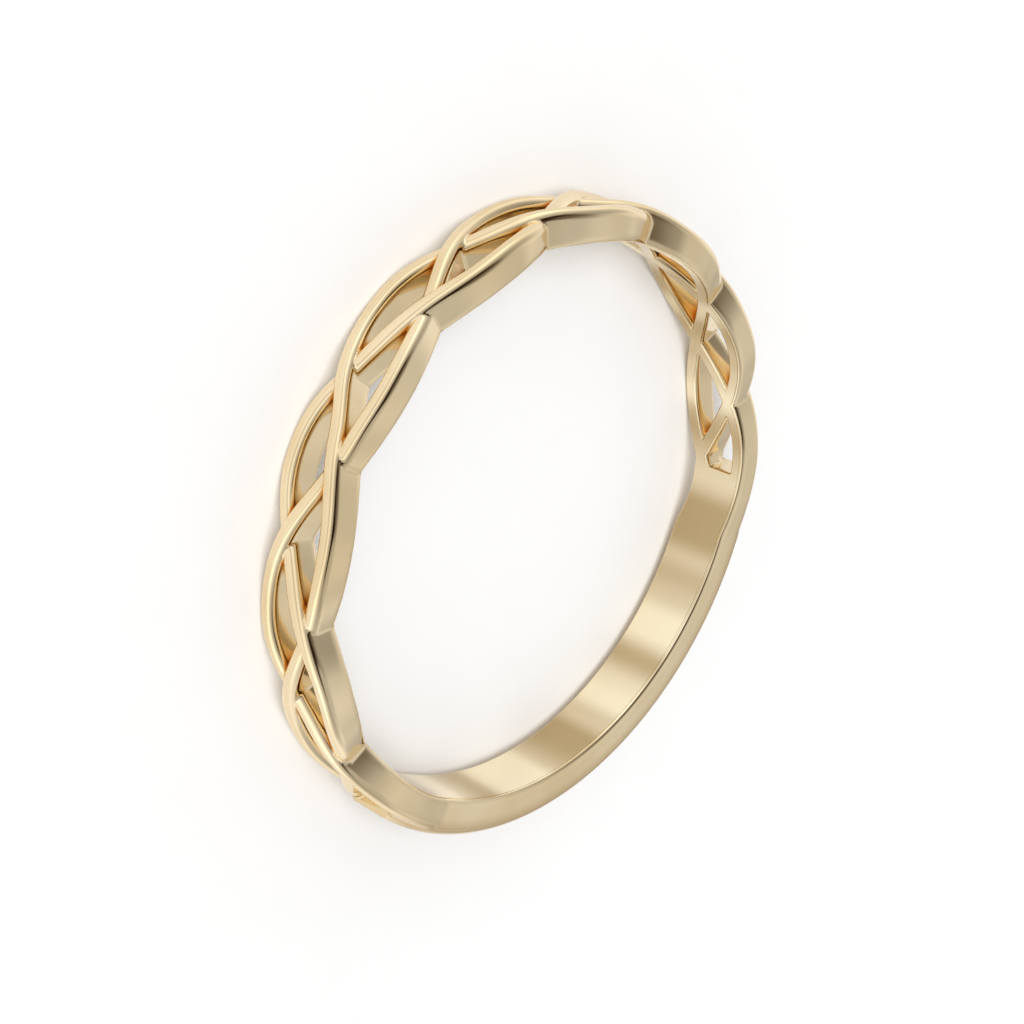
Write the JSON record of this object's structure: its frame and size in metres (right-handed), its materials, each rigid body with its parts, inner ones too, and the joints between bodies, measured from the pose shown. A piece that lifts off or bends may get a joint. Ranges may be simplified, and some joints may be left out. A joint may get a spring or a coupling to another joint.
{
  "type": "braided band ring",
  "caption": "Slim finger ring: a pierced three-strand braid round most of the band, cast in one piece with a plain rounded shank.",
  "frame": {"origin": "on the finger bore's axis, level with the lowest scallops of the braid, which the ring rests on", "axes": "+Z along the ring's axis, up as the ring lies on its side; +Y from the axis to the middle of the braid; +X completes a right-handed frame"},
  "size_m": [0.0196, 0.0197, 0.0025],
  "materials": {
    "yellow_gold": "polished pale yellow gold"
  },
  "bodies": {
    "root": {"braided_band": "yellow_gold"}
  },
  "joints": []
}
